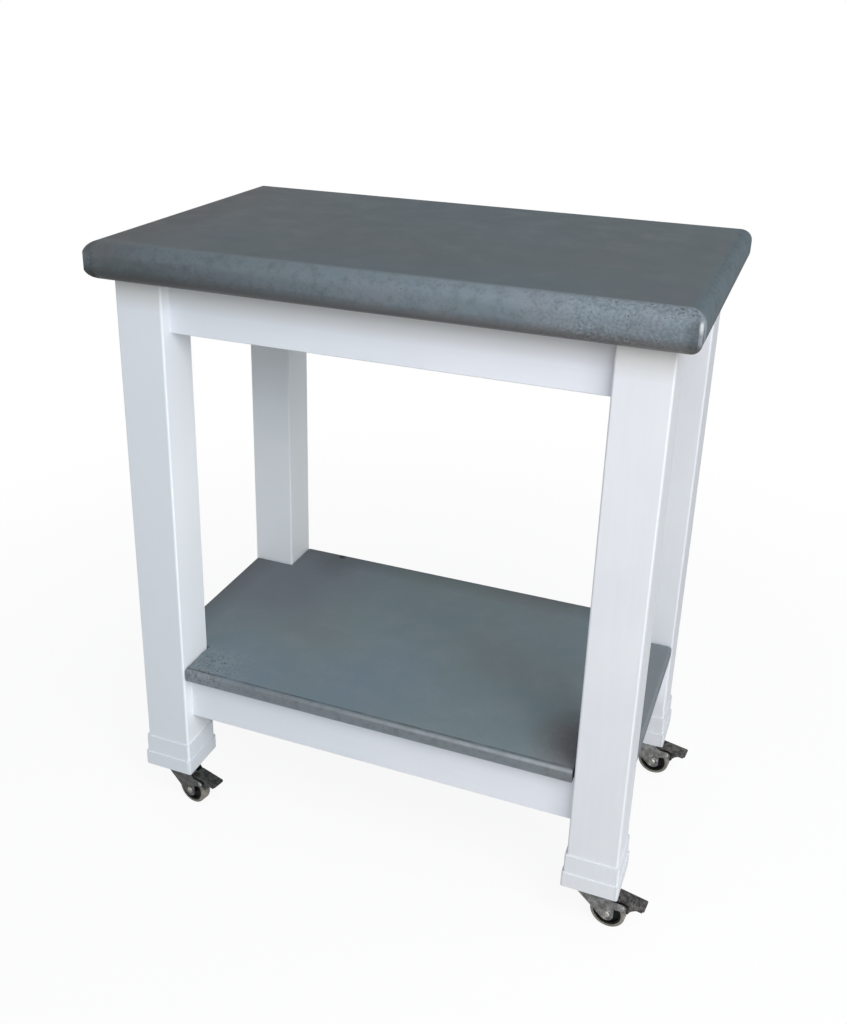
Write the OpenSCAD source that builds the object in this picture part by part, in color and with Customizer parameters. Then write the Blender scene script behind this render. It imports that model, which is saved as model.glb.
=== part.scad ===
// Rolling kitchen island: a cast slab work top and a notched cast shelf on a
// painted timber frame of four square legs, standing on four braked swivel castors.
// Origin: on the floor, under the middle of the frame. +Z up, front towards -Y.

/* [Work top] */
// Thickness of the cast slab
slab_t = 52.5; // [45:0.5:60]
// Radius of the slab's upper and lower edges
slab_r = 20; // [8:0.5:22]
// Radius of the slab's four corners, seen from above
slab_corner = 3; // [2:0.5:12]
// How far the slab runs past the legs on each side
overhang = 27.5; // [15:0.5:40]

/* [Frame] */
// Width over the legs
frame_w = 734; // [650:1:900]
// Depth over the legs
frame_d = 430; // [400:1:520]
// Side of a square leg
leg_w = 70; // [62:1:80]
// Length of a leg
leg_len = 778; // [700:1:850]
// Radius of a leg's arrises
leg_r = 3; // [1:0.5:5]
// Height of a rail
rail_h = 72; // [60:1:90]
// Thickness of a rail
rail_t = 22; // [18:1:26]
// Radius of a rail's arrises
rail_r = 2; // [0.5:0.5:4]
// How far a rail lies behind the leg's outer face
rail_in = 19; // [10:1:24]

/* [Stepped foot] */
// Height of the upper ledge above the leg's end
ledge_high = 52; // [40:1:60]
// Height of the lower ledge above the leg's end
ledge_low = 23; // [15:1:30]
// How far the upper band stands out from the leg
band_out = 2.5; // [1:0.5:4]
// How far the lower band stands out from the upper one
band_out_low = 2; // [1:0.5:3]

/* [Shelf] */
// Height of the shelf's top above the floor
shelf_top = 263; // [230:1:320]
// Thickness of the shelf
shelf_t = 21; // [16:1:28]
// Radius of the shelf's long edges
shelf_r = 5; // [2:0.5:8]
// How far the shelf's edge lies behind the legs' outer faces
shelf_in = 1; // [0:0.5:5]
// Gap between the shelf's notch and the leg
notch_gap = 3; // [1:0.5:5]

/* [Joinery] */
// Length of a tenon
tenon_len = 25; // [18:1:27]
// Thickness of a tenon
tenon_t = 10; // [8:1:12]
// Shoulder above and below a tenon
tenon_shoulder = 10; // [6:1:15]
// Clearance round a tenon
tenon_fit = 0.1; // [0.05:0.05:0.2]
// Reach of a corner block along each rail
block_reach = 62; // [56:1:75]
// Height of a corner block
block_h = 40; // [30:1:50]

/* [Castors] */
// Height of a castor, from the floor to the leg's end
castor_h = 75; // [74:1:80]
// Outer diameter of the tyre
wheel_d = 50; // [48:1:50]
// Width of the tyre
tyre_w = 17; // [15:1:18]
// How far the wheel trails behind the swivel axis
trail = 25; // [24:1:27]
// Side of the square top plate
plate_w = 60; // [56:1:62]
// Turn of the front left castor
turn_fl = -12; // [-30:1:30]
// Turn of the front right castor
turn_fr = -6; // [-30:1:30]
// Turn of the back right castor
turn_br = -6; // [-30:1:30]
// Turn of the back left castor
turn_bl = 174; // [150:1:210]

/* [Hidden] */
$fn = 64;
eps = 0.01;

slab_w = frame_w + 2 * overhang;
slab_d = frame_d + 2 * overhang;
slab_under = castor_h + leg_len;
slab_top = slab_under + slab_t;
shelf_under = shelf_top - shelf_t;
span_x = frame_w - 2 * leg_w;
span_y = frame_d - 2 * leg_w;

// Heights of the rails' lower edges
upper_rail_z = slab_under - rail_h;
lower_rail_z = shelf_under - rail_h;

// Slab bolts: centre from the frame's corner, bolt and insert sizes
bolt_at = leg_w + block_reach / 4;
bolt_r = 3;
bolt_fit = 0.5;
bolt_head_r = 6.5;
bolt_head_h = 4;
insert_r = 5;
insert_len = 22;
insert_fit = 0.1;
bolt_len = block_h + insert_len - 4;

// Corner block screws
screw_r = 2;
screw_head_r = 4;
screw_head_h = 2.5;
screw_fit = 0.1;
block_screw_into = 14;
block_screw_at = leg_w + block_reach * 0.62;

// Castor: depths are measured down from the leg's end
axle_z = wheel_d / 2;
plate_t = 2.5;
plate_corner = 6;
hole_at = plate_w / 2 - 8;
castor_screw_len = 25;
race_r = 20;
race_low = castor_h - 7.4;
ball_r = 2.4;
ball_fit = 0.25;
ball_ring = 14.5;
ball_count = 12;
crown_top = castor_h - 9.4;
ball_z = (race_low + crown_top) / 2;
crown_r = 21;
crown_t = 2.5;
kingpin_r = 4.5;
kingpin_fit = 0.06;
kingpin_head_r = 8;
kingpin_head_h = 2.5;
kingpin_gap = 0.2;

// Fork: a pressed channel that runs back over the wheel as two short arms
fork_gap = 21.2;
fork_sheet = 2;
fork_w = fork_gap + 2 * fork_sheet;
fork_bend = 3;
fork_front = -20;
fork_front_low = castor_h - 26;
lobe_r = 10;
arm_top = castor_h - 24;
arm_low = castor_h - 37.5;
arm_back = trail + 9;
nose_x = trail + 22;
nose_r = 5.5;
nose_z = arm_top - nose_r;
lobe_way = [trail - fork_front, axle_z - fork_front_low];
lobe_turn = atan2(lobe_way.y, lobe_way.x) - asin(lobe_r / norm(lobe_way));
lobe_touch = [trail + lobe_r * sin(lobe_turn), axle_z - lobe_r * cos(lobe_turn)];
arm_way = [nose_x - trail - lobe_r, nose_z - arm_low];
arm_turn = atan2(arm_way.y, arm_way.x) - asin(nose_r / norm(arm_way));
arm_touch = [nose_x + nose_r * sin(arm_turn), nose_z - nose_r * cos(arm_turn)];
swage_at = 7.6;
swage_r = 1.3;
swage_out = 0.7;

// Wheel and axle
core_r = 20;
core_fit = 0.1;
core_w = tyre_w - 1.5;
core_web = 7;
core_rim = 2.5;
hub_r = 8;
hub_w = fork_gap - 0.6;
tyre_round = 3;
axle_r = 4;
axle_fit = 0.06;
axle_head_r = 5;
axle_head_h = 2.4;

// Brake: lever, pin and pedal cover
pin_r = 2;
pin_fit = 0.05;
pin_head_r = 3.2;
pin_head_h = 1.2;
lever_w = fork_gap - 4.2;
lever_hub_r = 3.8;
lever_t = 2;
lever_in = 2;
pedal_slope = 6.5;
pedal_t = 2.5;
pedal_w = 22;
pedal_back = 17.5;
pedal_reach = 26.5;
pedal_round = 2.5;
skirt_t = 2;
skirt_x = 6;
skirt_deep = 15.5;
skirt_mid = 9.2;
skirt_low = 4.8;
pedal_at = [nose_x + 3, nose_z + 10];
rib_r = 1.2;
rib_out = 0.6;
rib_step = 4;
rib_count = 5;
rib_first = 3;
tip_r = 1.9;
lever_short = 2 * tip_r + 0.8;

corner_names = ["front_left", "front_right", "back_left", "back_right"];
short_names = ["fl", "fr", "bl", "br"];
corner_sides = [[-1, -1], [1, -1], [-1, 1], [1, 1]];
turns = [turn_fl, turn_fr, turn_bl, turn_br];

paint = [0.86, 0.88, 0.90];
stone = [0.42, 0.46, 0.49];
zinc = [0.62, 0.62, 0.60];
steel = [0.70, 0.70, 0.70];
black = [0.10, 0.10, 0.11];
rubber = [0.42, 0.39, 0.36];
timber = [0.80, 0.68, 0.50];

// Placement: a corner's own frame starts at the frame's outer corner, with
// +X and +Y pointing inwards
module at_corner(sides) {
    translate([sides.x * frame_w / 2, sides.y * frame_d / 2, 0])
        mirror([sides.x > 0 ? 1 : 0, 0, 0])
            mirror([0, sides.y > 0 ? 1 : 0, 0])
                children();
}

// The castor's swivel axis is the leg's own centre line
module at_castor(i, turned = true) {
    translate([corner_sides[i].x * (frame_w - leg_w) / 2, corner_sides[i].y * (frame_d - leg_w) / 2, 0])
        rotate([0, 0, turned ? turns[i] : 0])
            children();
}

// Flat shapes shared by several pieces
module round_rect(w, d, r) {
    square([w - 2 * r, d], center = true);
    square([w, d - 2 * r], center = true);
    for (x = [-1, 1], y = [-1, 1])
        translate([x * (w / 2 - r), y * (d / 2 - r)])
            circle(r = r);
}

// Bar of that shape along X or Y, standing on z = 0
module bar_x(len, d, h, r) {
    translate([-len / 2, 0, h / 2])
        rotate([90, 0, 90])
            linear_extrude(len)
                round_rect(d, h, r);
}

module bar_y(len, w, h, r) {
    translate([0, len / 2, h / 2])
        rotate([90, 0, 0])
            linear_extrude(len)
                round_rect(w, h, r);
}

// Domed rivet head on z = 0
module dome(r, h) {
    ball = (r * r + h * h) / (2 * h);
    rotate_extrude()
        intersection() {
            translate([0, h - ball])
                circle(r = ball);
            square([r, h]);
        }
}

// Work top: its long rounded edges meet at mitres, and the corners are eased
module top_slab() {
    color(stone)
        difference() {
            translate([0, 0, slab_under])
                intersection() {
                    bar_x(slab_w, slab_d, slab_t, slab_r);
                    bar_y(slab_d, slab_w, slab_t, slab_r);
                    linear_extrude(slab_t)
                        round_rect(slab_w, slab_d, slab_corner);
                }
            for (side = corner_sides)
                at_corner(side)
                    translate([bolt_at, bolt_at, slab_under - eps])
                        cylinder(r = insert_r + insert_fit, h = insert_len + eps);
        }
}

// Threaded sleeves cast into the slab's underside
module slab_inserts() {
    color(steel)
        for (side = corner_sides)
            at_corner(side)
                translate([bolt_at, bolt_at, slab_under])
                    difference() {
                        cylinder(r = insert_r, h = insert_len);
                        translate([0, 0, -eps])
                            cylinder(r = bolt_r + insert_fit, h = insert_len - 2);
                    }
}

// Bolts from below, through the corner blocks and into the sleeves
module slab_bolts() {
    color(zinc)
        for (side = corner_sides)
            at_corner(side)
                translate([bolt_at, bolt_at, slab_under - block_h]) {
                    cylinder(r = bolt_r, h = bolt_len);
                    translate([0, 0, -bolt_head_h])
                        cylinder(r = bolt_head_r, h = bolt_head_h);
                }
}

// Shelf: two crossing bars, so that each corner is notched for its leg
module shelf_slab() {
    notch = leg_w + notch_gap;
    color(stone)
        translate([0, 0, shelf_under]) {
            bar_x(frame_w - 2 * notch, frame_d - 2 * shelf_in, shelf_t, shelf_r);
            bar_y(frame_d - 2 * notch, frame_w - 2 * shelf_in, shelf_t, shelf_r);
        }
}

// Square leg with a two-step foot, mortises for four tenons and pilot holes below
module band(out, h) {
    translate([leg_w / 2, leg_w / 2, castor_h])
        linear_extrude(h)
            round_rect(leg_w + 2 * out, leg_w + 2 * out, leg_r);
}

module mortise(z, fit) {
    translate([leg_w - tenon_len - fit, rail_in + (rail_t - tenon_t) / 2 - fit, z + tenon_shoulder - fit])
        cube([tenon_len + fit + eps, tenon_t + 2 * fit, rail_h - 2 * tenon_shoulder + 2 * fit]);
}

module leg(i) {
    color(paint)
        difference() {
            at_corner(corner_sides[i]) {
                band(0, leg_len);
                band(band_out, ledge_high);
                band(band_out + band_out_low, ledge_low);
            }
            at_corner(corner_sides[i])
                for (z = [upper_rail_z, lower_rail_z]) {
                    mortise(z, tenon_fit);
                    mirror([1, -1, 0])
                        mortise(z, tenon_fit);
                }
            at_castor(i, false)
                for (x = [-1, 1], y = [-1, 1])
                    translate([x * hole_at, y * hole_at, castor_h - eps])
                        cylinder(r = screw_r + screw_fit, h = castor_screw_len - plate_t + eps);
        }
}

// Rail with a tenon at each end, lying along X about x = 0
module rail(span) {
    translate([0, rail_t / 2, 0])
        bar_x(span, rail_t, rail_h, rail_r);
    translate([-span / 2 - tenon_len, (rail_t - tenon_t) / 2, tenon_shoulder])
        cube([span + 2 * tenon_len, tenon_t, rail_h - 2 * tenon_shoulder]);
}

// Holes for the corner blocks' screws, in an upper rail
module rail_screw_holes(span) {
    for (side = [-1, 1])
        translate([side * (span / 2 + leg_w - block_screw_at), rail_t - block_screw_into, rail_h - block_h / 2])
            rotate([-90, 0, 0])
                cylinder(r = screw_r + screw_fit, h = block_screw_into + eps);
}

module rail_x(side, z, screwed) {
    color(paint)
        mirror([0, side > 0 ? 1 : 0, 0])
            translate([0, rail_in - frame_d / 2, z])
                difference() {
                    rail(span_x);
                    if (screwed)
                        rail_screw_holes(span_x);
                }
}

module rail_y(side, z, screwed) {
    color(paint)
        mirror([side > 0 ? 1 : 0, 0, 0])
            translate([rail_in - frame_w / 2, 0, z])
                mirror([1, -1, 0])
                    difference() {
                        rail(span_y);
                        if (screwed)
                            rail_screw_holes(span_y);
                    }
}

// Corner block: a wedge across the corner, notched round the leg
rail_face = rail_in + rail_t;
block_end = leg_w + block_reach;

module block_screw(fit, head) {
    seat = (block_end + rail_face - block_screw_at) - 8;
    translate([block_screw_at, rail_face - block_screw_into, slab_under - block_h / 2])
        rotate([-90, 0, 0]) {
            cylinder(r = screw_r + fit, h = seat - rail_face + block_screw_into);
            translate([0, 0, seat - rail_face + block_screw_into])
                cylinder(r = screw_head_r + (fit > 0 ? 0.5 : 0), h = head);
        }
}

module corner_block(i) {
    color(timber)
        at_corner(corner_sides[i])
            difference() {
                translate([0, 0, slab_under - block_h])
                    linear_extrude(block_h)
                        polygon([
                            [leg_w, rail_face], [block_end, rail_face], [rail_face, block_end],
                            [rail_face, leg_w], [leg_w, leg_w]
                        ]);
                translate([bolt_at, bolt_at, slab_under - block_h - eps])
                    cylinder(r = bolt_r + bolt_fit, h = block_h + 2 * eps);
                block_screw(screw_fit, block_reach);
                mirror([1, -1, 0])
                    block_screw(screw_fit, block_reach);
            }
}

module corner_block_screws() {
    color(steel)
        for (side = corner_sides)
            at_corner(side) {
                block_screw(0, screw_head_h);
                mirror([1, -1, 0])
                    block_screw(0, screw_head_h);
            }
}

// Ball groove, cut into both races
module ball_groove() {
    translate([0, 0, ball_z])
        rotate_extrude()
            translate([ball_ring, 0])
                circle(r = ball_r + ball_fit);
}

// Top plate with the upper race below it
module castor_plate(i) {
    color(zinc)
        at_castor(i, false)
            difference() {
                union() {
                    translate([0, 0, castor_h - plate_t])
                        linear_extrude(plate_t)
                            round_rect(plate_w, plate_w, plate_corner);
                    translate([0, 0, race_low])
                        cylinder(r = race_r, h = castor_h - plate_t - race_low + eps);
                }
                ball_groove();
                translate([0, 0, race_low - eps])
                    cylinder(r = kingpin_r + kingpin_fit, h = castor_h);
                for (x = [-1, 1], y = [-1, 1])
                    translate([x * hole_at, y * hole_at, castor_h - plate_t - eps])
                        cylinder(r = screw_r + screw_fit, h = plate_t + 2 * eps);
            }
}

module castor_screws() {
    color(steel)
        for (i = [0:3])
            at_castor(i, false)
                for (x = [-1, 1], y = [-1, 1])
                    translate([x * hole_at, y * hole_at, castor_h - plate_t]) {
                        cylinder(r = screw_r, h = castor_screw_len);
                        mirror([0, 0, 1])
                            dome(screw_head_r, screw_head_h);
                    }
}

// Kingpin: holds the fork up under the plate
module kingpins() {
    head_top = crown_top - crown_t - kingpin_gap;
    color(steel)
        for (i = [0:3])
            at_castor(i, false) {
                translate([0, 0, head_top - eps])
                    cylinder(r = kingpin_r, h = castor_h - head_top);
                translate([0, 0, head_top])
                    mirror([0, 0, 1])
                        dome(kingpin_head_r, kingpin_head_h);
            }
}

module bearing_balls() {
    color(steel)
        for (i = [0:3])
            at_castor(i, false)
                for (k = [0:ball_count - 1])
                    rotate([0, 0, k * 360 / ball_count])
                        translate([ball_ring, 0, ball_z])
                            sphere(r = ball_r);
}

// Fork: outline of its cheeks, seen from the side
module cheek_outline() {
    difference() {
        union() {
            polygon([
                [fork_front, crown_top], [crown_r, crown_top], [arm_back, arm_top],
                [nose_x, arm_top], [nose_x, nose_z], arm_touch, [trail + lobe_r, arm_low],
                [trail + lobe_r, axle_z], [trail, axle_z], lobe_touch,
                [fork_front, fork_front_low]
            ]);
            translate([trail, axle_z])
                circle(r = lobe_r);
            translate([nose_x, nose_z])
                circle(r = nose_r);
        }
        translate([trail, axle_z])
            circle(r = axle_r + axle_fit);
        translate([nose_x, nose_z])
            circle(r = pin_r + pin_fit);
    }
}

// Section of the channel, seen along the trail
module channel_section() {
    difference() {
        translate([0, crown_top / 2])
            round_rect(fork_w, crown_top, fork_bend);
        translate([-fork_gap / 2, -eps])
            square([fork_gap, crown_top - crown_t]);
    }
}

// Ring pressed out of a cheek, round the axle
module swage() {
    rotate([-90, 0, 0])
        rotate_extrude()
            difference() {
                translate([swage_at, swage_out - swage_r])
                    circle(r = swage_r);
                translate([0, -2 * swage_r])
                    square([2 * swage_at, 2 * swage_r - fork_sheet / 4]);
            }
}

module fork(i) {
    color(zinc)
        at_castor(i)
            difference() {
                union() {
                    intersection() {
                        translate([0, fork_w, 0])
                            rotate([90, 0, 0])
                                linear_extrude(2 * fork_w)
                                    cheek_outline();
                        translate([fork_front - 1, 0, 0])
                            rotate([90, 0, 90])
                                linear_extrude(nose_x + nose_r - fork_front + 2)
                                    channel_section();
                    }
                    translate([0, 0, crown_top - crown_t])
                        cylinder(r = crown_r, h = crown_t);
                    for (side = [0, 1])
                        mirror([0, side, 0])
                            translate([trail, fork_w / 2, axle_z])
                                swage();
                }
                ball_groove();
                translate([0, 0, crown_top - crown_t - eps])
                    cylinder(r = kingpin_r + kingpin_fit, h = crown_t + 2 * eps);
            }
}

module axle(i) {
    color(steel)
        at_castor(i)
            translate([trail, 0, axle_z])
                for (side = [0, 1])
                    mirror([0, side, 0])
                        rotate([-90, 0, 0]) {
                            cylinder(r = axle_r, h = fork_w / 2 + eps);
                            translate([0, 0, fork_w / 2])
                                dome(axle_head_r, axle_head_h);
                        }
}

// Wheel core: hub, thin web and rim
module wheel_core(i) {
    color(black)
        at_castor(i)
            translate([trail, 0, axle_z])
                rotate([90, 0, 0])
                    rotate_extrude()
                        difference() {
                            union() {
                                translate([0, -hub_w / 2])
                                    square([hub_r, hub_w]);
                                translate([0, -core_web / 2])
                                    square([core_r - core_rim + eps, core_web]);
                                translate([core_r - core_rim, -core_w / 2])
                                    square([core_rim, core_w]);
                            }
                            translate([-eps, -hub_w])
                                square([axle_r + axle_fit + eps, 2 * hub_w]);
                        }
}

module tyre(i) {
    inner = core_r + core_fit;
    color(rubber)
        at_castor(i)
            translate([trail, 0, axle_z])
                rotate([90, 0, 0])
                    rotate_extrude()
                        difference() {
                            translate([wheel_d / 4, 0])
                                round_rect(wheel_d / 2, tyre_w, tyre_round);
                            translate([-wheel_d / 2, -tyre_w])
                                square([wheel_d / 2 + inner, 2 * tyre_w]);
                        }
}

module brake_pin(i) {
    color(steel)
        at_castor(i)
            translate([nose_x, 0, nose_z])
                for (side = [0, 1])
                    mirror([0, side, 0])
                        rotate([-90, 0, 0]) {
                            cylinder(r = pin_r, h = fork_w / 2 + eps);
                            translate([0, 0, fork_w / 2])
                                dome(pin_head_r, pin_head_h);
                        }
}

// The pedal's own frame: on its top face above the nose, sloping down to the tip
module at_pedal() {
    translate([pedal_at.x, 0, pedal_at.y])
        rotate([0, pedal_slope, 0])
            children();
}

// Height of the middle of the lever's arm at x
function arm_middle(x) =
    pedal_at.y - (x - pedal_at.x) * tan(pedal_slope) - (pedal_t + lever_t / 2) / cos(pedal_slope);

// Brake lever: hub on the pin, a shoe behind the tyre and an arm under the pedal
module brake_lever(i) {
    shoe_x = nose_x + 4.2;
    shoe_z = nose_z - 10.5;
    color(black)
        at_castor(i) {
            difference() {
                translate([0, lever_w / 2, 0])
                    rotate([90, 0, 0])
                        linear_extrude(lever_w)
                            union() {
                                translate([nose_x, nose_z])
                                    circle(r = lever_hub_r);
                                polygon([
                                    [nose_x - 3, nose_z + 1], [nose_x - 1.5, arm_middle(nose_x - 1.5)],
                                    [nose_x + 9, arm_middle(nose_x + 9)], [nose_x + 9.5, nose_z - 4],
                                    [shoe_x + 3, shoe_z], [shoe_x, shoe_z], [nose_x + 2, nose_z - 3]
                                ]);
                            }
                translate([nose_x, fork_w, nose_z])
                    rotate([90, 0, 0])
                        cylinder(r = pin_r + pin_fit, h = 2 * fork_w);
            }
            at_pedal()
                translate([lever_in - pedal_back, -lever_w / 2, -pedal_t - lever_t])
                    cube([pedal_back + pedal_reach - lever_in - lever_short, lever_w, lever_t]);
        }
}

// Round bar across the pedal: a grip rib, or the lip at its tip
module pedal_bar(x, z, r, w) {
    translate([x, w / 2, z])
        rotate([90, 0, 0])
            cylinder(r = r, h = w);
}

// Pedal cover: a ribbed cap over the lever's arm, with skirts beyond the fork
module brake_pedal(i) {
    color(black)
        at_castor(i)
            at_pedal() {
                translate([(pedal_reach - pedal_back) / 2, 0, -pedal_t])
                    linear_extrude(pedal_t)
                        round_rect(pedal_back + pedal_reach, pedal_w, pedal_round);
                for (k = [0:rib_count - 1])
                    pedal_bar(rib_first + k * rib_step, rib_out - rib_r, rib_r, pedal_w - pedal_round);
                pedal_bar(pedal_reach - tip_r, -pedal_t / 2, tip_r, pedal_w - 2 * pedal_round);
                for (side = [-1, 1])
                    translate([0, side * (pedal_w - skirt_t) / 2 + skirt_t / 2, 0])
                        rotate([90, 0, 0])
                            linear_extrude(skirt_t)
                                polygon([
                                    [skirt_x, -pedal_t / 2], [skirt_x, -skirt_deep],
                                    [skirt_x + 5, -skirt_mid], [skirt_x + 10, -skirt_low - 0.5],
                                    [pedal_reach - pedal_round, -skirt_low], [pedal_reach - pedal_round, -pedal_t / 2]
                                ]);
            }
}

top_slab();
slab_inserts();
slab_bolts();
shelf_slab();
rail_x(-1, upper_rail_z, true);  // upper_rail_front
rail_x(1, upper_rail_z, true);  // upper_rail_back
rail_y(-1, upper_rail_z, true);  // upper_rail_left
rail_y(1, upper_rail_z, true);  // upper_rail_right
rail_x(-1, lower_rail_z, false);  // lower_rail_front
rail_x(1, lower_rail_z, false);  // lower_rail_back
rail_y(-1, lower_rail_z, false);  // lower_rail_left
rail_y(1, lower_rail_z, false);  // lower_rail_right
corner_block_screws();
castor_screws();
kingpins();
bearing_balls();
for (i = [0:3]) {
    leg(i);
    corner_block(i);
    castor_plate(i);
    fork(i);
    axle(i);
    wheel_core(i);
    tyre(i);
    brake_pin(i);
    brake_lever(i);
    brake_pedal(i);
}
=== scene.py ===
import bpy
import math
from mathutils import Matrix, Vector

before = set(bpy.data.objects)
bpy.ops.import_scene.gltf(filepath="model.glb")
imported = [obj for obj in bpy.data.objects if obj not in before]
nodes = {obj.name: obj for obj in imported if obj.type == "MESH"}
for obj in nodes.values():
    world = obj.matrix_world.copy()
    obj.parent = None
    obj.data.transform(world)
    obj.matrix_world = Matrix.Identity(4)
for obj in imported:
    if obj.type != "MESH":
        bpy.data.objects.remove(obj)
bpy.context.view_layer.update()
bpy.ops.object.select_all(action="DESELECT")

# --- Camera ---------------------------------------------------------------
# The photograph was taken from the front right, at head height and about
# 1.7 m away. Position and turn come from the straight edges of the cart.
camera_at = Vector((0.51586, -1.43821, 1.22986))
camera_ahead = Vector((-0.34179, 0.86003, -0.37886))
camera_up = Vector((-0.15654, 0.34540, 0.92531))
focal_px, centre_x_px, centre_y_px = 1137.25, 391.13, 439.05
photo_w_px, photo_h_px = 847, 1024
sensor_mm, nearest = 24.0, 0.02

camera_data = bpy.data.cameras.new("camera")
camera = bpy.data.objects.new("camera", camera_data)
bpy.context.collection.objects.link(camera)
bpy.context.scene.camera = camera
ahead = camera_ahead.normalized()
right = ahead.cross(camera_up).normalized()
turn = Matrix((right, right.cross(ahead), -ahead)).transposed().to_4x4()
camera.matrix_world = Matrix.Translation(camera_at) @ turn
camera_data.sensor_fit = "VERTICAL"
camera_data.sensor_height = sensor_mm
camera_data.lens = focal_px / photo_h_px * sensor_mm
camera_data.shift_x = (photo_w_px / 2 - centre_x_px) / photo_h_px
camera_data.shift_y = (centre_y_px - photo_h_px / 2) / photo_h_px
camera_data.clip_start = nearest

# --- Studio ---------------------------------------------------------------
# A plain white floor that runs up to a white surround, a soft lamp from the
# front right, weak low ones from the right and the front, and a bluish daylight.
floor_size, floor_bounce = 24, 0.56
white, white_shine = (1, 1, 1, 1), 0.40
floor_glow, floor_glow_reach = (0.90, 1.0), (0.7, 1.6)
daylight = (0.93, 0.98, 1.0, 1)
surround_low, surround_high = 0.74, 0.34
# name, place, what it points at, size in metres, watts
lamps = (
    ("lamp_front_right", (1.30, -1.50, 2.10), (0.0, 0.0, 0.55), 1.5, 34),
    ("lamp_right", (2.30, -0.75, 0.60), (-0.2, -0.1, 0.40), 1.2, 14),
    ("lamp_front", (0.50, -2.20, 0.40), (-0.2, 0.1, 0.40), 1.6, 2.5),
)


def math_node(tree, how, first, second=None):
    node = tree.nodes.new("ShaderNodeMath")
    node.operation = how
    for value, socket in ((first, node.inputs[0]), (second, node.inputs[1])):
        if value is None:
            continue
        if isinstance(value, (int, float)):
            socket.default_value = value
        else:
            tree.links.new(value, socket)
    return node.outputs[0]


def spread(tree, value, low, high, to_low=0.0, to_high=1.0):
    node = tree.nodes.new("ShaderNodeMapRange")
    node.inputs["From Min"].default_value = low
    node.inputs["From Max"].default_value = high
    node.inputs["To Min"].default_value = to_low
    node.inputs["To Max"].default_value = to_high
    tree.links.new(value, node.inputs["Value"])
    return node.outputs["Result"]


def white_share(tree, path):
    # Plain white to the camera and through glass, and a weaker white in what mirrors it
    mirrored = math_node(tree, "MULTIPLY", path.outputs["Is Glossy Ray"], white_shine)
    seen = math_node(tree, "MAXIMUM", path.outputs["Is Camera Ray"], mirrored)
    return math_node(tree, "MAXIMUM", seen, path.outputs["Is Transmission Ray"])


floor_mat = bpy.data.materials.new("studio_floor")
floor_mat.use_nodes = True
tree = floor_mat.node_tree
tree.nodes.clear()
out = tree.nodes.new("ShaderNodeOutputMaterial")
mix = tree.nodes.new("ShaderNodeMixShader")
paper = tree.nodes.new("ShaderNodeBsdfDiffuse")
glow = tree.nodes.new("ShaderNodeEmission")
path = tree.nodes.new("ShaderNodeLightPath")
away = tree.nodes.new("ShaderNodeVectorMath")
away.operation = "LENGTH"
tree.links.new(tree.nodes.new("ShaderNodeTexCoord").outputs["Object"], away.inputs[0])
# Close to the cart the floor glows less, so that its shadow shows
fade = spread(tree, away.outputs["Value"], *floor_glow_reach, *floor_glow)
sheet = spread(tree, path.outputs["Is Camera Ray"], 0.0, 1.0, floor_bounce, 1.0)
tree.links.new(sheet, paper.inputs["Color"])
glow.inputs["Color"].default_value = white
glow.inputs["Strength"].default_value = 1.0
tree.links.new(math_node(tree, "MULTIPLY", white_share(tree, path), fade), mix.inputs["Fac"])
tree.links.new(paper.outputs[0], mix.inputs[1])
tree.links.new(glow.outputs[0], mix.inputs[2])
tree.links.new(mix.outputs[0], out.inputs["Surface"])

bpy.ops.mesh.primitive_plane_add(size=floor_size, location=(0, 0, 0))
floor = bpy.context.object
floor.name = "studio_floor"
floor.data.materials.append(floor_mat)

bpy.context.scene.view_settings.view_transform = "Standard"
world = bpy.data.worlds.new("studio")
bpy.context.scene.world = world
world.use_nodes = True
tree = world.node_tree
tree.nodes.clear()
out = tree.nodes.new("ShaderNodeOutputWorld")
mix = tree.nodes.new("ShaderNodeMixShader")
light = tree.nodes.new("ShaderNodeBackground")
backdrop = tree.nodes.new("ShaderNodeBackground")
path = tree.nodes.new("ShaderNodeLightPath")
heading = tree.nodes.new("ShaderNodeSeparateXYZ")
tree.links.new(tree.nodes.new("ShaderNodeTexCoord").outputs["Generated"], heading.inputs[0])
strength = spread(tree, heading.outputs[2], 0.0, 1.0, surround_low, surround_high)
light.inputs["Color"].default_value = daylight
tree.links.new(strength, light.inputs["Strength"])
backdrop.inputs["Color"].default_value = white
backdrop.inputs["Strength"].default_value = 1.0
tree.links.new(white_share(tree, path), mix.inputs["Fac"])
tree.links.new(light.outputs[0], mix.inputs[1])
tree.links.new(backdrop.outputs[0], mix.inputs[2])
tree.links.new(mix.outputs[0], out.inputs["Surface"])

for name, place, aim, size, watts in lamps:
    bpy.ops.object.light_add(type="AREA", location=place)
    lamp = bpy.context.object
    lamp.name = name
    lamp.data.size = size
    lamp.data.energy = watts
    lamp.rotation_euler = (Vector(aim) - Vector(place)).to_track_quat("-Z", "Y").to_euler()

# --- Legs -------------------------------------------------------------------
# Four square softwood legs, each with a two-step foot, sanded and sprayed with
# a satin white paint. A trace of the upright grain shows through it.
paint_pale = (0.788, 0.804, 0.842)
paint_deep = (0.750, 0.768, 0.810)
paint_cool = (0.762, 0.812, 0.870)
# Painted shade for the outer faces of the right legs
paint_outer_shade = (0.560, 0.580, 0.612)
# Painted shadow just below the slab
paint_under_slab_shadow = (0.520, 0.500, 0.465)
# Painted shade on the far left leg, then painted light on the left legs
paint_far_shade = (0.500, 0.490, 0.460)
paint_lit = (0.900, 0.930, 0.965)
paint_gloss, flat_gloss = 0.5, 0.12
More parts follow.
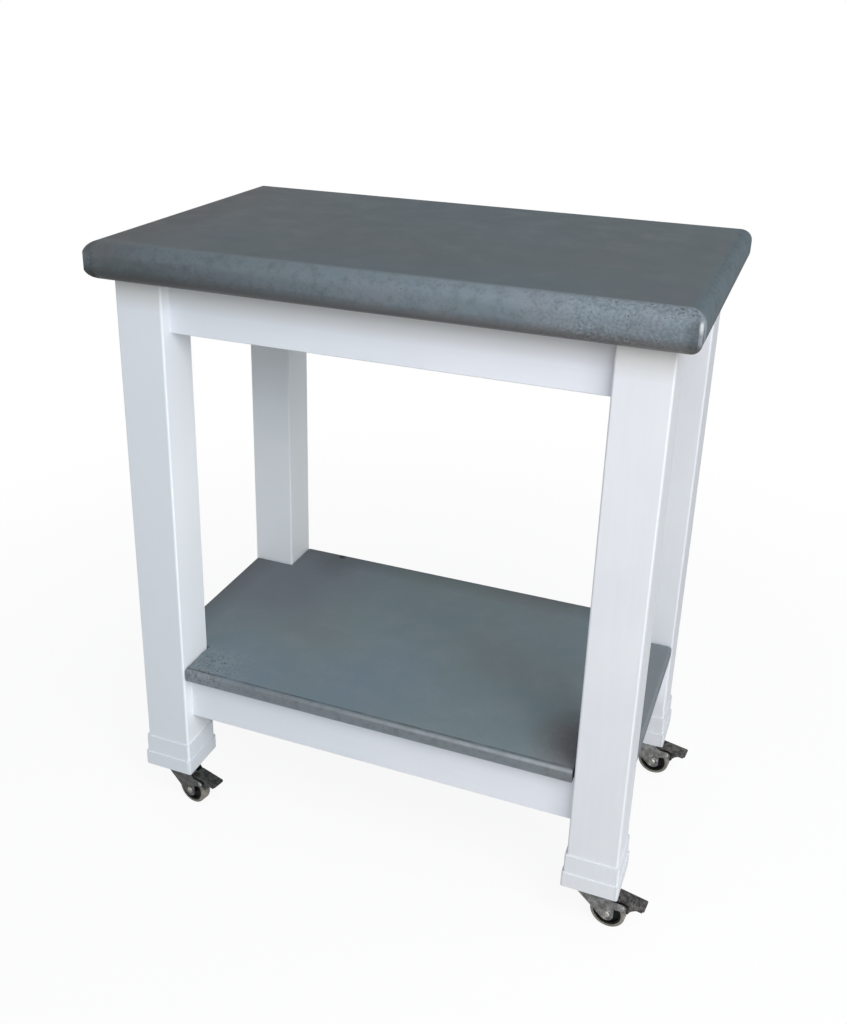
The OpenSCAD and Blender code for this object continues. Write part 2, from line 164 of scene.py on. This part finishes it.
# Where each tint begins and is full, and how much of it there is then
cool_x, cool_most = (0.30, -0.30), 0.70
under_slab_shadow_z, under_slab_shadow_most = (0.812, 0.842), 0.60
far_shade_z, far_shade_most, far_shade_inside = (0.56, 0.80), 0.90, 0.22
inner_x = ((-0.2985, -0.2975), (-0.2940, -0.2960))
left_x, far_y, near_y = (0.0, -0.1), (0.0, 0.1), (0.0, -0.1)
lit_far_z, lit_far_most = (0.62, 0.48), 0.85
lit_near_z, lit_near_span = (0.82, 0.55), (0.20, 0.90)
outer_x, outer_z, outer_span = (0.3655, 0.3662), (0.12, 0.35), (0.25, 0.85)
leg_ease, ease_segments = 0.0006, 2
weld_within, flat_within, sharp_above = 0.00001, math.radians(0.5), math.radians(35)


def new_material(name, roughness, metallic=0.0):
    mat = bpy.data.materials.new(name)
    mat.use_nodes = True
    shader = mat.node_tree.nodes["Principled BSDF"]
    shader.inputs["Roughness"].default_value = roughness
    shader.inputs["Metallic"].default_value = metallic
    return mat, mat.node_tree, shader


def object_place(tree, stretch=(1, 1, 1)):
    coords = tree.nodes.new("ShaderNodeTexCoord").outputs["Object"]
    mapping = tree.nodes.new("ShaderNodeMapping")
    mapping.inputs["Scale"].default_value = stretch
    tree.links.new(coords, mapping.inputs["Vector"])
    return mapping.outputs["Vector"]


def place_axes(tree, place):
    axes = tree.nodes.new("ShaderNodeSeparateXYZ")
    tree.links.new(place, axes.inputs[0])
    return axes.outputs


def noise(tree, coords, scale, detail=3.0, roughness=0.55):
    node = tree.nodes.new("ShaderNodeTexNoise")
    node.inputs["Scale"].default_value = scale
    node.inputs["Detail"].default_value = detail
    node.inputs["Roughness"].default_value = roughness
    tree.links.new(coords, node.inputs["Vector"])
    return node.outputs["Fac"]


def ramp(tree, value, stops):
    node = tree.nodes.new("ShaderNodeValToRGB")
    while len(node.color_ramp.elements) < len(stops):
        node.color_ramp.elements.new(0.5)
    for element, (at, colour) in zip(node.color_ramp.elements, stops):
        element.position = at
        element.color = (*colour, 1)
    tree.links.new(value, node.inputs["Fac"])
    return node.outputs["Color"]


def bump(tree, shader, height, strength, distance):
    node = tree.nodes.new("ShaderNodeBump")
    node.inputs["Strength"].default_value = strength
    node.inputs["Distance"].default_value = distance
    tree.links.new(height, node.inputs["Height"])
    tree.links.new(node.outputs["Normal"], shader.inputs["Normal"])


def blend_colour(tree, fac, first, second):
    node = tree.nodes.new("ShaderNodeMix")
    node.data_type = "RGBA"
    for value, socket in ((fac, node.inputs[0]), (first, node.inputs[6]), (second, node.inputs[7])):
        if isinstance(value, (int, float)):
            socket.default_value = value
        elif isinstance(value, tuple):
            socket.default_value = (*value, 1)
        else:
            tree.links.new(value, socket)
    return node.outputs[2]


def times(tree, first, *others):
    for other in others:
        first = math_node(tree, "MULTIPLY", first, other)
    return first


def larger(tree, first, second):
    return math_node(tree, "MAXIMUM", first, second)


def mixed(tree, first, first_share, second, second_share):
    # Two noises added in the given shares
    return math_node(tree, "ADD", times(tree, first, first_share), times(tree, second, second_share))


def tinted(colour, shade):
    return tuple(c * s for c, s in zip(colour, shade))


def finish_node(name, mat, ease=0.0):
    # ease: how wide the piece's sharp edges are rounded
    piece = nodes[name]
    piece.data.materials.clear()
    piece.data.materials.append(mat)
    if not ease:
        return
    joined = piece.modifiers.new("joined", "WELD")
    joined.merge_threshold = weld_within
    flat = piece.modifiers.new("flat_faces", "DECIMATE")
    flat.decimate_type = "DISSOLVE"
    flat.angle_limit = flat_within
    eased = piece.modifiers.new("eased_edges", "BEVEL")
    eased.width = ease
    eased.segments = ease_segments
    eased.limit_method = "ANGLE"
    eased.angle_limit = sharp_above
    eased.harden_normals = True


def white_paint(name, along, painted_lift=(1, 1, 1)):
    # along: how much the grain is drawn out on each axis; painted_lift: how much paler
    # this coat is painted in red, green and blue, as painted light
    mat, tree, shader = new_material(name, 0.40)
    tone = noise(tree, object_place(tree), scale=7.0, detail=2.0)
    grain = noise(tree, object_place(tree, along), scale=160.0, detail=3.0, roughness=0.6)
    speck = noise(tree, object_place(tree), scale=900.0, detail=2.0)
    base = ramp(tree, mixed(tree, tone, 0.7, grain, 0.3),
                [(0.35, tinted(paint_deep, painted_lift)), (0.62, tinted(paint_pale, painted_lift))])
    x, y, z = place_axes(tree, object_place(tree))
    # Cooler toward the left, and a warm painted shadow just below the slab
    base = blend_colour(tree, spread(tree, x, *cool_x, 0.0, cool_most), base, paint_cool)
    base = blend_colour(tree, spread(tree, z, *under_slab_shadow_z, 0.0, under_slab_shadow_most), base, paint_under_slab_shadow)
    # Painted shade on the far left leg's top and inner face, and painted light on its
    # lower part and on the near left leg's inner face, most low down
    left, far, near = spread(tree, x, *left_x), spread(tree, y, *far_y), spread(tree, y, *near_y)
    inner = times(tree, *(spread(tree, x, *span) for span in inner_x))
    dull = larger(tree, spread(tree, z, *far_shade_z, 0.0, far_shade_most), times(tree, inner, far_shade_inside))
    lit_mask = larger(tree, times(tree, far, spread(tree, z, *lit_far_z, 0.0, lit_far_most)),
                   times(tree, near, inner, spread(tree, z, *lit_near_z, *lit_near_span)))
    base = blend_colour(tree, times(tree, left, lit_mask), base, paint_lit)
    base = blend_colour(tree, times(tree, left, far, dull), base, paint_far_shade)
    # Painted shade on the outer faces of the right legs, which also shine less
    outer = spread(tree, x, *outer_x)
    base = blend_colour(tree, times(tree, outer, spread(tree, z, *outer_z, *outer_span)), base, paint_outer_shade)
    tree.links.new(base, shader.inputs["Base Color"])
    tree.links.new(spread(tree, outer, 0.0, 1.0, paint_gloss, flat_gloss), shader.inputs["Specular IOR Level"])
    tree.links.new(spread(tree, grain, 0.3, 0.7, 0.34, 0.46), shader.inputs["Roughness"])
    bump(tree, shader, math_node(tree, "ADD", grain, times(tree, speck, 0.35)), strength=0.22, distance=0.0003)
    return mat


paint_upright = white_paint("white_paint_upright", (1, 1, 0.05))
for name in nodes:
    if name.startswith("leg_"):
        finish_node(name, paint_upright, leg_ease)

# --- Rails ------------------------------------------------------------------
# Eight rails of the same painted softwood, tenoned into the legs and glued; their coat is painted paler than the
# legs' as painted light.
# Their grain runs lengthways, and a painted contact shadow lies where the shelf rests on the long ones.
rail_painted_light = (1.105, 1.100, 1.125)
contact_shadow_colour, contact_shadow_most = (0.085, 0.095, 0.105), 0.75
contact_shadow_z = ((0.2385, 0.2402), (0.2440, 0.2425))

paint_lengthways = white_paint("white_paint_lengthways", (0.05, 1, 1), rail_painted_light)
paint_crossways = white_paint("white_paint_crossways", (1, 0.05, 1), rail_painted_light)
tree = paint_lengthways.node_tree
painted = tree.nodes["Principled BSDF"].inputs["Base Color"]
z = place_axes(tree, object_place(tree))[2]
# Painted contact shadow along the top of the long rails, under the shelf
contact_shadow = times(tree, *(spread(tree, z, *span) for span in contact_shadow_z), contact_shadow_most)
tree.links.new(blend_colour(tree, contact_shadow, painted.links[0].from_socket, contact_shadow_colour), painted)
for name in nodes:
    if "_rail_" in name:
        finish_node(name, paint_lengthways if name.endswith(("front", "back")) else paint_crossways)

# --- Slab top ---------------------------------------------------------------
# The top is cast concrete, ground smooth and sealed, and bolted down from below.
# Its colour drifts from blue to green grey, and its front edge is pitted at the
# right, with pale rims round the pits. The near right arris carries a painted highlight, with painted shade beside
# it.
concrete_blue = (0.106, 0.143, 0.172)
concrete_green = (0.114, 0.149, 0.158)
concrete_grey = (0.126, 0.139, 0.152)
concrete_dull = (0.098, 0.118, 0.133)
concrete_pale = (0.160, 0.188, 0.208)
concrete_sand = (0.085, 0.100, 0.110)
concrete_mottle_and_light = (0.235, 0.282, 0.330)
concrete_brown = (0.150, 0.126, 0.116)
concrete_dark_and_shade = (0.038, 0.038, 0.037)
concrete_left_shade = (0.060, 0.070, 0.076)
concrete_lilac = (0.175, 0.172, 0.196)
concrete_end = (0.098, 0.096, 0.102)
concrete_highlight = (0.80, 0.82, 0.84)
pit_dark, pit_pale = (0.014, 0.017, 0.020), (0.300, 0.338, 0.365)
pit_cell, speck_cell = 0.0080, 0.0036
pit_low, pit_size, speck_low, speck_size = 0.16, 0.52, 0.14, 0.44
face_sheen, front_sheen, end_sheen = 0.03, 0.40, 0.15
top_shade, top_edge = (0.82, 0.83, 0.85), (0.106, 0.139, 0.158)
corner_highlight_x, corner_highlight_y = ((0.3884, 0.3904), (0.3938, 0.3924)), (-0.2386, -0.2406)
corner_highlight_z, corner_highlight_span = ((0.862, 0.870), (0.897, 0.892)), (0.20, 0.70)
corner_highlight_bright_z = (0.880, 0.887)
shaded_x, shaded_most = (0.372, 0.385), 0.35
end_x, end_z, end_most = (-0.30, -0.37), (0.878, 0.892), 0.75


def pits(tree, place, lay, cell, dense, low, size):
    # lay: the two directions along which the face is laid out flat; dense: share of
    # the cells with a pit; low, size: how wide they are; gives the pits and their rims
    flat = tree.nodes.new("ShaderNodeCombineXYZ")
    for direction, socket in zip(lay, flat.inputs):
        dot = tree.nodes.new("ShaderNodeVectorMath")
        dot.operation = "DOT_PRODUCT"
        dot.inputs[1].default_value = direction
        tree.links.new(place, dot.inputs[0])
        tree.links.new(dot.outputs["Value"], socket)
    cells = tree.nodes.new("ShaderNodeTexVoronoi")
    cells.voronoi_dimensions = "2D"
    cells.inputs["Scale"].default_value = 1 / cell
    tree.links.new(flat.outputs[0], cells.inputs["Vector"])
    lot = tree.nodes.new("ShaderNodeSeparateColor")
    tree.links.new(cells.outputs["Color"], lot.inputs[0])
    uneven = math_node(tree, "SUBTRACT", noise(tree, place, scale=2.2 / cell, detail=2.0), 0.5)
    outline = math_node(tree, "ADD", cells.outputs["Distance"], times(tree, uneven, 0.16))
    wide = math_node(tree, "SUBTRACT", times(tree, lot.outputs[0], size), spread(tree, dense, 0.0, 1.0, size, low))
    depth = math_node(tree, "SUBTRACT", wide, outline)
    there = spread(tree, wide, 0.0, 0.03)
    pit = times(tree, spread(tree, depth, -0.02, 0.03), there)
    rim = times(tree, spread(tree, depth, -0.20, -0.03), there)
    return pit, rim


def cast_concrete(name, shade, edge_tint, half_w, half_d, edge, light_rise, pale_front_x, pale_front, pit_x,
                  left_grey_and_shade, lay, worn_x, worn_y):
    # shade: this casting's own tone in red, green and blue; edge_tint: its edge's colour
    # half_w, half_d, edge: where the edge begins and over what width it turns full
    # light_rise: heights between which the edge turns paler, as painted light above and painted shade below
    # pale_front_x, pit_x: where the front edge's paler part and its pits start and are full
    # pale_front: how strong that paler part is, on the top a painted light; left_grey_and_shade: how grey the left
    # end is, and how strong the painted shade at the edge's left is
    # lay: the two directions along which the edge is laid out flat for its pits
    # worn_x, worn_y: the corner that is mottled on the face as well
    mat, tree, shader = new_material(name, 0.36)
    place = object_place(tree)
    x, y, z = place_axes(tree, place)
    drift = noise(tree, place, scale=2.6, detail=2.0)
    patch = noise(tree, place, scale=5.5, detail=3.0, roughness=0.6)
    gather = noise(tree, place, scale=13.0, detail=2.0)
    tinge = noise(tree, place, scale=14.0, detail=2.0)
    cloud = noise(tree, place, scale=22.0, detail=5.0, roughness=0.62)
    mottle = noise(tree, place, scale=75.0, detail=4.0, roughness=0.65)
    speckle = noise(tree, place, scale=260.0, detail=2.0, roughness=0.6)
    grain = noise(tree, place, scale=420.0, detail=3.0, roughness=0.7)
    blue, green, grey, dull, pale, sand = (tinted(colour, shade) for colour in (
        concrete_blue, concrete_green, concrete_grey, concrete_dull, concrete_pale, concrete_sand))

    # Where on the slab a point lies
    out_x = math_node(tree, "SUBTRACT", math_node(tree, "ABSOLUTE", x), half_w)
    out_y = math_node(tree, "SUBTRACT", math_node(tree, "ABSOLUTE", y), half_d)
    at_edge = spread(tree, larger(tree, out_x, out_y), 0.0, edge)
    at_end = spread(tree, out_x, 0.0, edge)
    front = spread(tree, y, -half_d, -half_d - edge)
    pale_front_mask = times(tree, spread(tree, x, *pale_front_x), front)
    pitted = times(tree, spread(tree, x, *pit_x), front)
    lit_from_above = spread(tree, z, *light_rise)
    corner = times(tree, spread(tree, x, *worn_x), spread(tree, y, *worn_y))

    # The face: drifting blue, green and grey, with duller and paler clouds
    base = ramp(tree, drift, [(0.36, blue), (0.52, green), (0.68, grey)])
    base = blend_colour(tree, spread(tree, x, 0.05, -0.32, 0.0, left_grey_and_shade), base, grey)
    base = blend_colour(tree, spread(tree, patch, 0.45, 0.75, 0.0, 0.35), base, dull)
    base = blend_colour(tree, spread(tree, cloud, 0.45, 0.80, 0.0, 0.40), base, pale)
    base = blend_colour(tree, spread(tree, grain, 0.30, 0.75, 0.0, 0.22), base, sand)

    # The edge: paler toward the front with lilac in it, a painted light on the top, and painted shade low down and
    # at the left
    base = blend_colour(tree, times(tree, at_edge, lit_from_above, 0.8), base, edge_tint)
    lilac = times(tree, pale_front_mask, spread(tree, tinge, 0.48, 0.60, 0.0, 0.45))
    base = blend_colour(tree, lilac, base, concrete_lilac)
    pale_front_amount = times(tree, pale_front_mask, spread(tree, lit_from_above, 0.0, 1.0, 0.30, 1.0),
                     spread(tree, cloud, 0.2, 0.7, 0.65, 1.0), pale_front)
    worn_bloom = times(tree, corner, spread(tree, mottle, 0.42, 0.58), 0.80)
    base = blend_colour(tree, larger(tree, pale_front_amount, worn_bloom), base, concrete_mottle_and_light)
    base = blend_colour(tree, times(tree, corner, spread(tree, mottle, 0.44, 0.60), 0.60), base, pit_pale)
    left_shade = times(tree, at_edge, spread(tree, x, 0.0, -half_w, 0.0, left_grey_and_shade), spread(tree, lit_from_above, 0.95, 0.40))
    base = blend_colour(tree, left_shade, base, concrete_left_shade)
    # Painted shade on the lower part of the edge
    low_shade = times(tree, at_edge, spread(tree, lit_from_above, 0.45, 0.0), spread(tree, pale_front_mask, 0.0, 1.0, 0.95, 0.38))
    base = blend_colour(tree, low_shade, base, concrete_dark_and_shade)
    blotches = times(tree, larger(tree, at_edge, corner), spread(tree, mottle, 0.48, 0.70), 0.30)
    base = blend_colour(tree, blotches, base, concrete_dark_and_shade)

    # Specks and pits, in flocks along the edge and at the worn corner
    flock = spread(tree, gather, 0.42, 0.60)
    dense = larger(tree, times(tree, pitted, spread(tree, flock, 0.0, 1.0, 0.40, 1.0)),
                   times(tree, at_edge, flock, 0.30))
    dense = larger(tree, dense, times(tree, corner, 0.75))
    pale_specks = times(tree, dense, spread(tree, speckle, 0.52, 0.64), spread(tree, pitted, 0.0, 1.0, 0.10, 0.62))
    base = blend_colour(tree, pale_specks, base, pit_pale)
    dark_specks = times(tree, dense, spread(tree, speckle, 0.48, 0.34), 0.58)
    base = blend_colour(tree, dark_specks, base, concrete_dark_and_shade)
    big, big_rim = pits(tree, place, lay, pit_cell, dense, pit_low, pit_size)
    small, small_rim = pits(tree, place, lay, speck_cell, dense, speck_low, speck_size)
    rims = larger(tree, times(tree, big_rim, 0.30), times(tree, small_rim, 0.12))
    rims = times(tree, rims, spread(tree, larger(tree, pitted, corner), 0.0, 0.5, 0.25, 1.0))
    base = blend_colour(tree, rims, base, pit_pale)
    # Brown low on the edge's paler part, on the top a painted warm reflected light
    brown_low = times(tree, at_edge, spread(tree, lit_from_above, 0.40, 0.0), pale_front_mask, pale_front, 0.75)
    base = blend_colour(tree, brown_low, base, concrete_brown)
    hollow = larger(tree, big, times(tree, small, 0.55))
    base = blend_colour(tree, times(tree, hollow, 0.62), base, pit_dark)

    # The sealer shines on the front edge and hardly on the ground face
    tree.links.new(base, shader.inputs["Base Color"])
    tree.links.new(spread(tree, cloud, 0.3, 0.7, 0.32, 0.44), shader.inputs["Roughness"])
    shader.inputs["Specular IOR Level"].default_value = 0.25
    sheen = times(tree, spread(tree, front, 0.0, 1.0, face_sheen, front_sheen),
                  spread(tree, at_end, 0.0, 1.0, 1.0, end_sheen))
    tree.links.new(sheen, shader.inputs["Specular IOR Level"])
    rough = mixed(tree, grain, 0.10, times(tree, mottle, at_edge), 0.15)
    bump(tree, shader, math_node(tree, "SUBTRACT", rough, times(tree, hollow, 0.6)), strength=0.5, distance=0.0009)
    return mat, tree, shader, base, (x, y, z)


# On the top the front edge's paler right part is painted light and its darker left part painted shade
cast_top, tree, shader, base, (x, y, z) = cast_concrete(
    "cast_top", shade=top_shade, edge_tint=top_edge, half_w=0.3740, half_d=0.2220, edge=0.008,
    light_rise=(0.859, 0.893), pale_front_x=(-0.32, 0.20), pale_front=0.75, pit_x=(0.14, 0.25), left_grey_and_shade=0.75,
    lay=((1, 0.8, 0), (0, 0.6, 1)), worn_x=(-0.36, -0.40), worn_y=(-0.20, -0.24))
# Painted shade on the front edge just left of the near right corner
shaded = times(tree, spread(tree, x, *shaded_x, 0.0, shaded_most), spread(tree, y, *corner_highlight_y))
base = blend_colour(tree, shaded, base, concrete_dark_and_shade)
left_end = times(tree, spread(tree, x, *end_x, 0.0, end_most), spread(tree, z, *end_z))
base = blend_colour(tree, left_end, base, concrete_end)
# Painted highlight down the near right corner
highlight_mask = times(tree, *(spread(tree, x, *span) for span in corner_highlight_x), spread(tree, y, *corner_highlight_y),
               spread(tree, z, *corner_highlight_bright_z, *corner_highlight_span), *(spread(tree, z, *span) for span in corner_highlight_z))
tree.links.new(blend_colour(tree, highlight_mask, base, concrete_highlight), shader.inputs["Base Color"])
finish_node("top_slab", cast_top)

# --- Shelf slab -------------------------------------------------------------
# The shelf is a thinner casting of a paler mix, notched round the legs and laid
# on the lower rails. It greys toward its right end, its front arris carries a painted highlight, with a
# dark line behind it, stains lie by the far left leg, and a painted shadow lies by the near right one.
shelf_shade, shelf_edge = (1.79, 1.73, 1.71), (0.182, 0.204, 0.224)
shelf_right, shelf_right_x, shelf_right_most = (0.250, 0.258, 0.275), (0.22, 0.33), 0.55
shelf_plain, shelf_plain_x, shelf_plain_y = (0.178, 0.182, 0.202), (-0.12, -0.24), (-0.08, 0.04)
shelf_plain_most = 0.60
shelf_face_z = (0.2590, 0.2615)
shelf_margin, margin_y, margin_x = (0.080, 0.080, 0.075), (0.165, 0.214), (-0.320, -0.366)
margin_most = 0.40
shelf_line_y, shelf_line_span = ((-0.2050, -0.2066), (-0.2096, -0.2084)), (0.20, 0.55)
shelf_highlight, shelf_highlight_y, shelf_highlight_z = (0.390, 0.415, 0.450), (-0.2104, -0.2118), (0.2575, 0.2600)
shelf_highlight_x, shelf_highlight_span = (-0.15, 0.25), (0.05, 0.85)
# centre, distance at which the mark ends and at which it is full, how much, colour; the first is a painted shadow
# of the near right leg, the others are stains
stains_and_leg_shadow = (
    # Painted shadow of the near right leg
    ((0.2970, -0.1500, 0.263), 0.085, 0.030, 0.75, (0.150, 0.134, 0.146)),
    ((-0.2290, 0.1700, 0.263), 0.050, 0.010, 0.22, concrete_dark_and_shade),
    ((-0.2270, 0.2045, 0.263), 0.0075, 0.0045, 0.90, concrete_dark_and_shade),
)

cast_shelf, tree, shader, base, (x, y, z) = cast_concrete(
    "cast_shelf", shade=shelf_shade, edge_tint=shelf_edge, half_w=0.3600, half_d=0.2080, edge=0.004,
    light_rise=(0.2405, 0.2500), pale_front_x=(-0.20, -0.32), pale_front=0.35, pit_x=(-0.20, -0.32), left_grey_and_shade=0.0,
    lay=((1, 0, 0.4), (0, 1, 1)), worn_x=(-0.190, -0.260), worn_y=(-0.130, -0.170))
place = object_place(tree)
patchy = noise(tree, place, scale=60.0, detail=3.0, roughness=0.6)
face = spread(tree, z, *shelf_face_z)
rightward = times(tree, spread(tree, x, *shelf_right_x, 0.0, shelf_right_most), face)
base = blend_colour(tree, rightward, base, shelf_right)
plain = times(tree, spread(tree, x, *shelf_plain_x), spread(tree, y, *shelf_plain_y), face, shelf_plain_most)
base = blend_colour(tree, plain, base, shelf_plain)
margin = larger(tree, spread(tree, y, *margin_y, 0.0, margin_most), spread(tree, x, *margin_x, 0.0, margin_most))
base = blend_colour(tree, margin, base, shelf_margin)
for centre, ends, full, most, colour in stains_and_leg_shadow:
    gap = tree.nodes.new("ShaderNodeVectorMath")
    gap.operation = "DISTANCE"
    gap.inputs[1].default_value = centre
    tree.links.new(place, gap.inputs[0])
    mark_amount = times(tree, spread(tree, gap.outputs["Value"], ends, full, 0.0, most),
                    spread(tree, patchy, 0.30, 0.50, 0.45, 1.0))
    base = blend_colour(tree, mark_amount, base, colour)
line = times(tree, *(spread(tree, y, *span) for span in shelf_line_y),
             spread(tree, patchy, 0.30, 0.60, *shelf_line_span))
base = blend_colour(tree, line, base, concrete_dark_and_shade)
# Painted highlight along the shelf's front arris
highlight_mask = times(tree, spread(tree, y, *shelf_highlight_y), spread(tree, z, *shelf_highlight_z),
               spread(tree, patchy, 0.35, 0.65, 0.5, 1.0), spread(tree, x, *shelf_highlight_x, *shelf_highlight_span))
tree.links.new(blend_colour(tree, highlight_mask, base, shelf_highlight), shader.inputs["Base Color"])
finish_node("shelf_slab", cast_shelf)

# --- Corner blocks and fastenings -------------------------------------------
# Corner blocks of unpainted softwood, screwed to the rails. Plated screws and
# bolts hold them, the slab and the castors' plates.
timber_dark, timber_mid, timber_light = (0.42, 0.26, 0.13), (0.58, 0.40, 0.22), (0.66, 0.48, 0.29)
steel_dull, steel_bright = (0.62, 0.62, 0.61), (0.74, 0.74, 0.73)

timber, tree, shader = new_material("bare_timber", 0.62)
rings = noise(tree, object_place(tree, (1, 1, 0.08)), scale=120.0, detail=3.0, roughness=0.6)
base = ramp(tree, rings, [(0.32, timber_dark), (0.50, timber_mid), (0.70, timber_light)])
tree.links.new(base, shader.inputs["Base Color"])
bump(tree, shader, rings, strength=0.3, distance=0.0004)

steel, tree, shader = new_material("bright_steel", 0.26, 1.0)
polish = noise(tree, object_place(tree), scale=900.0, detail=2.0)
base = ramp(tree, polish, [(0.3, steel_dull), (0.7, steel_bright)])
tree.links.new(base, shader.inputs["Base Color"])
tree.links.new(spread(tree, polish, 0.3, 0.7, 0.20, 0.34), shader.inputs["Roughness"])

for name in nodes:
    if name.startswith("corner_block_"):
        finish_node(name, timber)
for name in ("slab_inserts", "slab_bolts", "corner_block_screws", "castor_screws", "kingpins", "bearing_balls"):
    finish_node(name, steel)

# --- Castor plates and forks ------------------------------------------------
# Plates and forks are pressed from steel sheet and zinc plated, with painted shade on
# the left of the cart; the axle and the brake's pin are rivets through the cheeks.
castors = ("fl", "fr", "bl", "br")
zinc_dark, zinc_mid, zinc_bright = (0.14, 0.14, 0.137), (0.26, 0.26, 0.255), (0.44, 0.44, 0.435)
zinc_left_shade, zinc_left_shade_most = (0.060, 0.064, 0.058), 0.66
rivet_dark, rivet_bright = (0.24, 0.23, 0.21), (0.62, 0.61, 0.57)
left_castors_x = (0.1, -0.1)
fork_ease = 0.0004

zinc, tree, shader = new_material("zinc_plate", 0.34, 1.0)
cloud = noise(tree, object_place(tree), scale=110.0, detail=3.0, roughness=0.6)
brushed = noise(tree, object_place(tree, (1, 1, 0.12)), scale=1400.0, detail=2.0)
base = ramp(tree, mixed(tree, cloud, 0.7, brushed, 0.3), [(0.36, zinc_dark), (0.50, zinc_mid), (0.64, zinc_bright)])
x = place_axes(tree, object_place(tree))[0]
# Painted shade on the castors at the left of the cart
base = blend_colour(tree, spread(tree, x, *left_castors_x, 0.0, zinc_left_shade_most), base, zinc_left_shade)
tree.links.new(base, shader.inputs["Base Color"])
tree.links.new(spread(tree, brushed, 0.3, 0.7, 0.28, 0.42), shader.inputs["Roughness"])
bump(tree, shader, brushed, strength=0.10, distance=0.0002)

rivet, tree, shader = new_material("rivet_steel", 0.45, 1.0)
scuffs = noise(tree, object_place(tree), scale=380.0, detail=3.0, roughness=0.65)
tree.links.new(ramp(tree, scuffs, [(0.36, rivet_dark), (0.62, rivet_bright)]), shader.inputs["Base Color"])
tree.links.new(spread(tree, scuffs, 0.3, 0.7, 0.38, 0.54), shader.inputs["Roughness"])

for castor in castors:
    finish_node("castor_plate_" + castor, zinc)
    finish_node("fork_" + castor, zinc, fork_ease)
    finish_node("axle_" + castor, rivet)
    finish_node("brake_pin_" + castor, rivet)

# --- Wheels -------------------------------------------------------------------
# Each wheel is a moulded black core with a tyre of taupe grey rubber, which is
# dusty where it has rolled. It turns on the rivet through the fork.
core_dark, core_light = (0.005, 0.005, 0.005), (0.012, 0.012, 0.012)
rubber_dark, rubber_dusty = (0.150, 0.136, 0.118), (0.310, 0.286, 0.250)

core, tree, shader = new_material("black_core", 0.50)
shader.inputs["Specular IOR Level"].default_value = 0.2
tone = noise(tree, object_place(tree), scale=500.0, detail=2.0)
tree.links.new(ramp(tree, tone, [(0.3, core_dark), (0.7, core_light)]), shader.inputs["Base Color"])
bump(tree, shader, tone, strength=0.10, distance=0.0002)

rubber, tree, shader = new_material("grey_rubber", 0.55)
tone = noise(tree, object_place(tree), scale=60.0, detail=3.0)
dust = noise(tree, object_place(tree), scale=700.0, detail=3.0, roughness=0.7)
base = ramp(tree, mixed(tree, tone, 0.5, dust, 0.5), [(0.36, rubber_dark), (0.64, rubber_dusty)])
tree.links.new(base, shader.inputs["Base Color"])
tree.links.new(spread(tree, dust, 0.3, 0.7, 0.48, 0.64), shader.inputs["Roughness"])
bump(tree, shader, dust, strength=0.18, distance=0.0002)

for castor in castors:
    finish_node("wheel_core_" + castor, core)
    finish_node("tyre_" + castor, rubber)

# --- Brakes -------------------------------------------------------------------
# A black painted steel lever turns on the brake's pin under a ribbed pedal
# cover of black plastic with a fine moulded grain and dust in it.
black_dark, black_light, lever_dark = (0.012, 0.012, 0.013), (0.028, 0.028, 0.030), (0.016, 0.016, 0.017)
dust_right, dust_left, dust_most = (0.205, 0.184, 0.168), (0.120, 0.132, 0.110), 0.75
pedal_ease = 0.0007

lever_paint, tree, shader = new_material("black_lever_paint", 0.45)
tone = noise(tree, object_place(tree), scale=300.0, detail=2.0)
tree.links.new(ramp(tree, tone, [(0.3, lever_dark), (0.7, black_light)]), shader.inputs["Base Color"])

cover, tree, shader = new_material("black_plastic", 0.48)
mould = noise(tree, object_place(tree), scale=1500.0, detail=2.0, roughness=0.7)
dusty = noise(tree, object_place(tree), scale=130.0, detail=4.0, roughness=0.65)
base = ramp(tree, mould, [(0.3, black_dark), (0.7, black_light)])
x = place_axes(tree, object_place(tree))[0]
dust = blend_colour(tree, spread(tree, x, *left_castors_x), dust_right, dust_left)
base = blend_colour(tree, spread(tree, dusty, 0.42, 0.66, 0.0, dust_most), base, dust)
tree.links.new(base, shader.inputs["Base Color"])
tree.links.new(spread(tree, mould, 0.3, 0.7, 0.42, 0.58), shader.inputs["Roughness"])
bump(tree, shader, mould, strength=0.35, distance=0.0003)

for castor in castors:
    finish_node("brake_lever_" + castor, lever_paint)
    finish_node("brake_pedal_" + castor, cover, pedal_ease)
